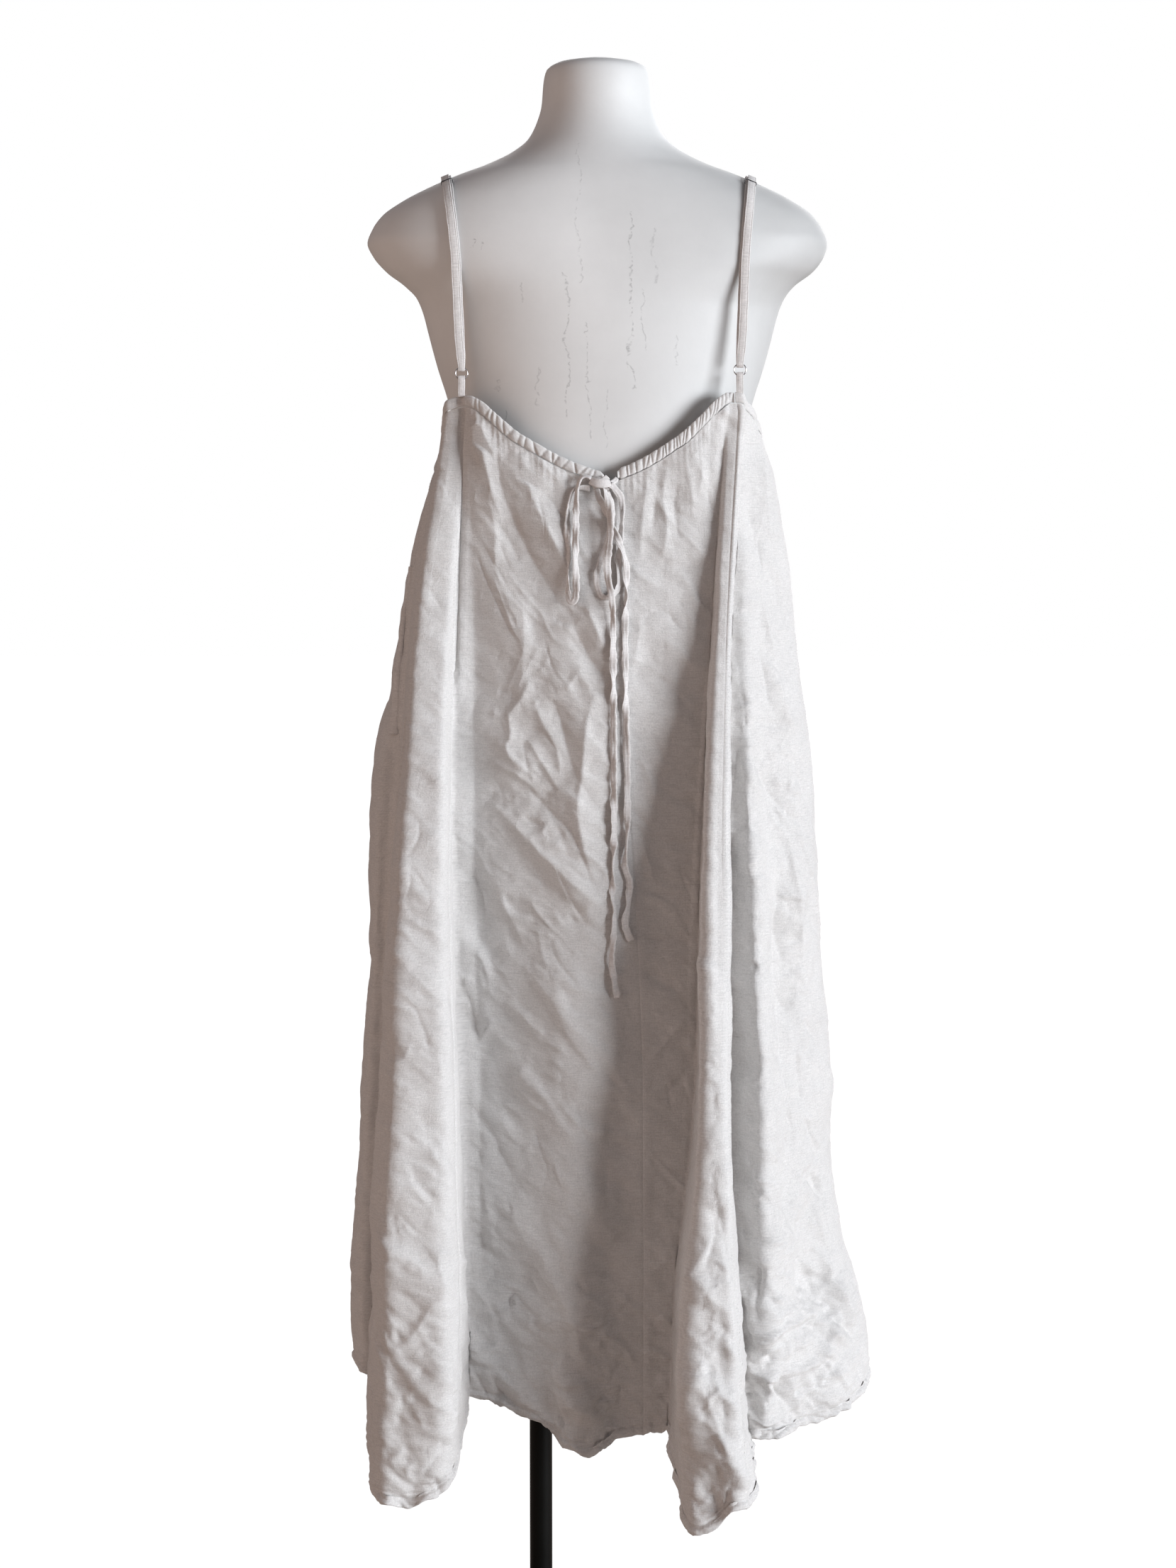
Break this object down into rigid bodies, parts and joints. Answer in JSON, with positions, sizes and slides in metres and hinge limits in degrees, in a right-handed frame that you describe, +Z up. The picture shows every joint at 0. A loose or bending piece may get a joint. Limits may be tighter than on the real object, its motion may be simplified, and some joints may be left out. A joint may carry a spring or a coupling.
{
  "type": "sleeveless linen sundress on a limbless dress form with a pole stand",
  "caption": "Long tent-shaped sleeveless sundress with a gathered drawstring neckline and strap shoulders, worn by a limbless dress form on a pole stand.",
  "frame": {"origin": "middle of the base plate's underside, on the floor, under the pole", "axes": "+Z up, the dress's front faces +Y and its back faces -Y, +X is to the right as seen from behind"},
  "size_m": [0.5058, 0.5133, 1.549],
  "materials": {
    "linen": "washed, slubby, matt",
    "form": "matt, faintly scuffed",
    "stand": "satin black",
    "ring": "polished",
    "slider": "satin"
  },
  "bodies": {
    "root": {"back_left": "linen", "back_right": "linen", "base_plate": "stand", "casing_back_left": "linen", "casing_back_right": "linen", "casing_front": "linen", "casing_side_left": "linen", "casing_side_right": "linen", "drawstring": "linen", "dress_form": "form", "front": "linen", "knot": "linen", "loop_left": "linen", "loop_right": "linen", "pocket_bag_left": "linen", "pocket_mouth_left": "linen", "pole": "stand", "pole_flange": "stand", "ring_left": "ring", "ring_right": "ring", "side_back_left": "linen", "side_back_right": "linen", "slider_left": "slider", "slider_right": "slider", "strap_left": "linen", "strap_right": "linen", "tab_left": "linen", "tab_right": "linen", "tie_a": "linen", "tie_b": "linen"}
  },
  "joints": []
}
